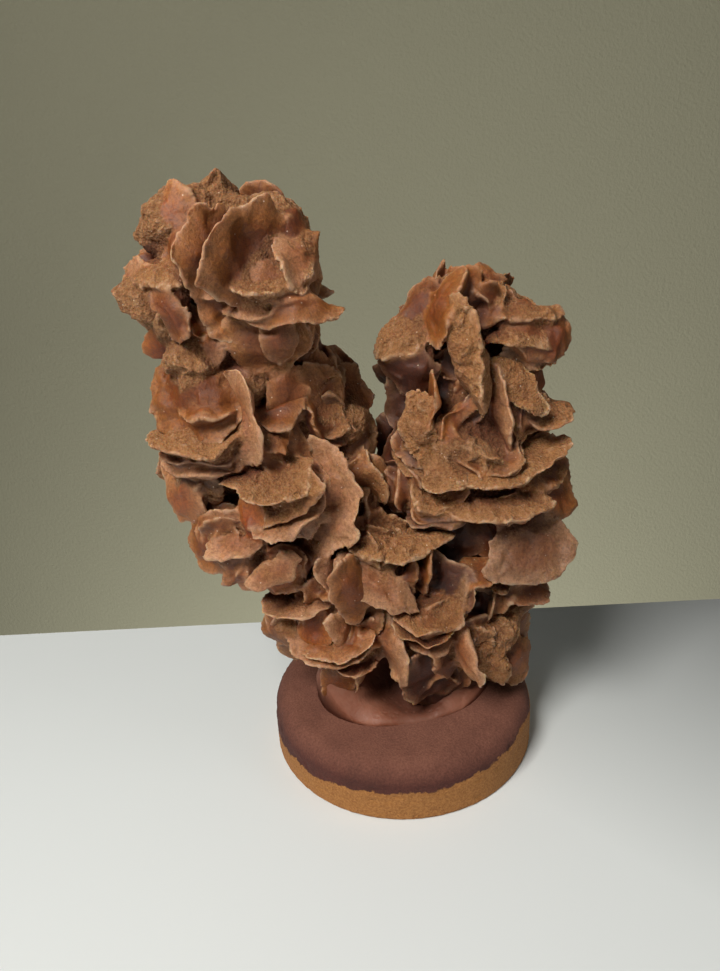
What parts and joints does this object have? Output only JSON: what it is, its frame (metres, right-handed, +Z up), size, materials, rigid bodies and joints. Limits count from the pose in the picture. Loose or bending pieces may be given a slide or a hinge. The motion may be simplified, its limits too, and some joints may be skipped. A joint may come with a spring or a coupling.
{
  "type": "gypsum sand rose on a cast sand base",
  "caption": "Forked desert rose of tan gypsum blades and sandy ledges, set in mortar on a round painted sand-cast base; a natural ornament that stands on a shelf",
  "frame": {"origin": "centre of the flat underside of the cast disc, on the surface it stands on", "axes": "+Z is up. -Y is the front, the side that is seen. +X is to the viewer's right: the shorter arm is on that side"},
  "size_m": [0.1194, 0.085, 0.1755],
  "materials": {
    "cast_sand": "sand-textured, maroon paint over bare tan sand",
    "mortar": "smooth trowelled reddish mortar",
    "gypsum": "waxy translucent caramel faces, pale rims, sandy pitted valleys"
  },
  "bodies": {
    "root": {"base_disc": "cast_sand", "mortar_bed": "mortar", "rose_foot": "gypsum", "rose_left_arm": "gypsum", "rose_right_arm": "gypsum"}
  },
  "joints": []
}
